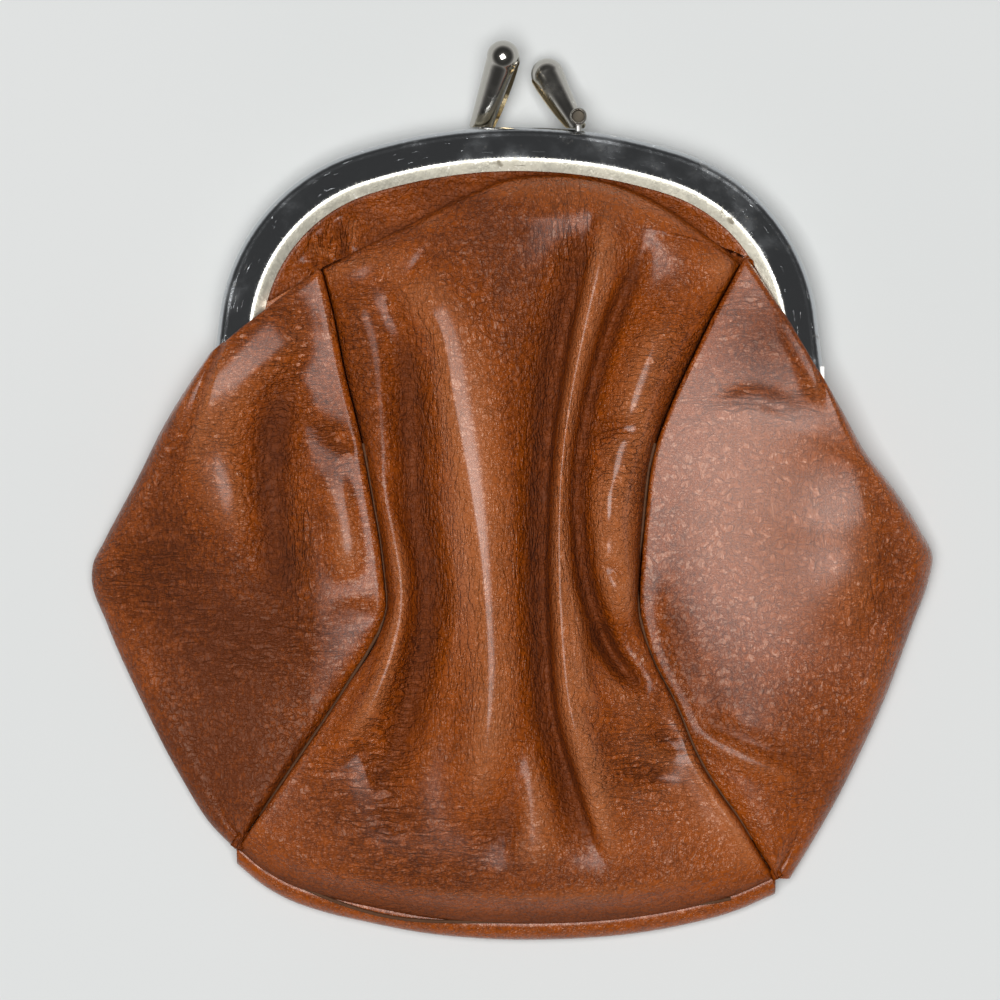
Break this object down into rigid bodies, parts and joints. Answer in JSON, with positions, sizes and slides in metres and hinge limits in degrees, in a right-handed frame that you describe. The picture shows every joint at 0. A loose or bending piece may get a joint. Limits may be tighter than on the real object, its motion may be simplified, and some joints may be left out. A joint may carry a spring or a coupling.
{
  "type": "kiss lock coin purse",
  "caption": "Small leather coin purse with a hinged arched metal frame, closed by two crossing clasp pods, with folded side gussets.",
  "frame": {"origin": "on the resting plane, under the middle of the frame's hinge line, with the purse lying on its back", "axes": "+X to the right seen from the front, +Y from the hinge line to the clasp, +Z out of the front panel"},
  "size_m": [0.1021, 0.1091, 0.0141],
  "materials": {
    "frame_plate": "nickel plate with worn edges, scratches and tarnish",
    "pod_plate": "nickel plate worn to brass along the seam fin",
    "rivet_steel": "dull steel",
    "leather": "cognac smooth leather, satin, fine grain, creased and worn",
    "thread": "dark brown waxed thread",
    "paper_cord": "twisted kraft paper"
  },
  "bodies": {
    "back_half": {"back_frame": "frame_plate", "left_hinge_rivet": "rivet_steel", "right_hinge_rivet": "rivet_steel", "back_clasp_pod": "pod_plate", "back_clasp_rivet": "rivet_steel", "back_paper_cord": "paper_cord", "back_panel": "leather", "front_panel": "leather", "left_gusset": "leather", "right_gusset": "leather", "front_left_seam_thread": "thread", "front_right_seam_thread": "thread", "back_left_seam_thread": "thread", "back_right_seam_thread": "thread", "bottom_seam_thread": "thread"},
    "front_half": {"front_frame": "frame_plate", "front_clasp_pod": "pod_plate", "front_clasp_rivet": "rivet_steel", "front_paper_cord": "paper_cord", "front_panel_top": "leather", "left_gusset_top": "leather", "right_gusset_top": "leather"}
  },
  "joints": [
    {"name": "frame_hinge", "type": "hinge", "parent": "back_half", "child": "front_half", "pos_m": [0, 0, 0.00545], "axis": [1, 0, 0], "range_deg": [0, 90], "deforming": ["front_panel_top", "left_gusset_top", "right_gusset_top"]}
  ]
}
